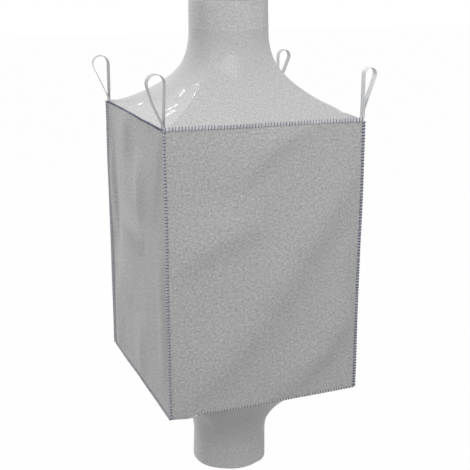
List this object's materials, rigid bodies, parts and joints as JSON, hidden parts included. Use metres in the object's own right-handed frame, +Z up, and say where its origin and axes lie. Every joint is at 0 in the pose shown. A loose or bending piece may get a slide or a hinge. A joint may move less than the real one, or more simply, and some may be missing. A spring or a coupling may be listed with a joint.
{
  "type": "bulk bag",
  "caption": "Square woven bulk bag with a cone top and filling spout, a cone bottom and discharge spout, stitched edge seams and folding corner lifting loops.",
  "frame": {"origin": "centre of the level plane of the inner faces of the four loop crowns, where the bag hangs", "axes": "+Z up along the bag's own axis, from discharge spout to filling spout; the front panel faces -Y; the loops lean outboard along X"},
  "size_m": [1.0262, 0.924, 2.233],
  "materials": {
    "panel_cloth": "uncoated woven tape cloth, dull",
    "coated_cloth": "woven tape cloth with a glossy coating",
    "spout_cloth": "light woven tape cloth, dull",
    "webbing": "woven webbing",
    "seam_thread": "folded cloth edge bound with overlock thread"
  },
  "bodies": {
    "bag": {"front_panel": "panel_cloth", "right_panel": "panel_cloth", "back_panel": "panel_cloth", "left_panel": "panel_cloth", "top_cone": "coated_cloth", "bottom_cone": "coated_cloth", "filling_neck_seam": "seam_thread", "discharge_neck_seam": "seam_thread", "corner_seam_front_left": "seam_thread", "corner_seam_front_right": "seam_thread", "corner_seam_back_left": "seam_thread", "corner_seam_back_right": "seam_thread", "top_seam_front": "seam_thread", "top_seam_back": "seam_thread", "top_seam_left": "seam_thread", "top_seam_right": "seam_thread", "bottom_seam_front": "seam_thread", "bottom_seam_back": "seam_thread", "bottom_seam_left": "seam_thread", "bottom_seam_right": "seam_thread", "loop_tail_front_left": "webbing", "loop_tail_front_right": "webbing", "loop_tail_back_left": "webbing", "loop_tail_back_right": "webbing"},
    "filling_spout": {"filling_spout": "spout_cloth"},
    "discharge_spout": {"discharge_spout": "spout_cloth"},
    "loop_front_left": {"lifting_loop_front_left": "webbing"},
    "loop_front_right": {"lifting_loop_front_right": "webbing"},
    "loop_back_left": {"lifting_loop_back_left": "webbing"},
    "loop_back_right": {"lifting_loop_back_right": "webbing"}
  },
  "joints": [
    {"name": "filling_spout_tuck", "type": "slide", "parent": "bag", "child": "filling_spout", "axis": [0, 0, -1], "range_m": [0, 0.242]},
    {"name": "discharge_spout_tuck", "type": "slide", "parent": "bag", "child": "discharge_spout", "axis": [0, 0, 1], "range_m": [0, 0.256]},
    {"name": "loop_front_left_fold", "type": "hinge", "parent": "bag", "child": "loop_front_left", "pos_m": [-0.4446, -0.422, -0.209], "axis": [0, -1, 0], "range_deg": [-75, 130], "stiffness_Nm_per_rad": 0.15},
    {"name": "loop_front_right_fold", "type": "hinge", "parent": "bag", "child": "loop_front_right", "pos_m": [0.4446, -0.422, -0.209], "axis": [0, 1, 0], "range_deg": [-75, 130], "stiffness_Nm_per_rad": 0.15},
    {"name": "loop_back_left_fold", "type": "hinge", "parent": "bag", "child": "loop_back_left", "pos_m": [-0.4446, 0.422, -0.209], "axis": [0, -1, 0], "range_deg": [-75, 130], "stiffness_Nm_per_rad": 0.15},
    {"name": "loop_back_right_fold", "type": "hinge", "parent": "bag", "child": "loop_back_right", "pos_m": [0.4446, 0.422, -0.209], "axis": [0, 1, 0], "range_deg": [-75, 130], "stiffness_Nm_per_rad": 0.15}
  ]
}
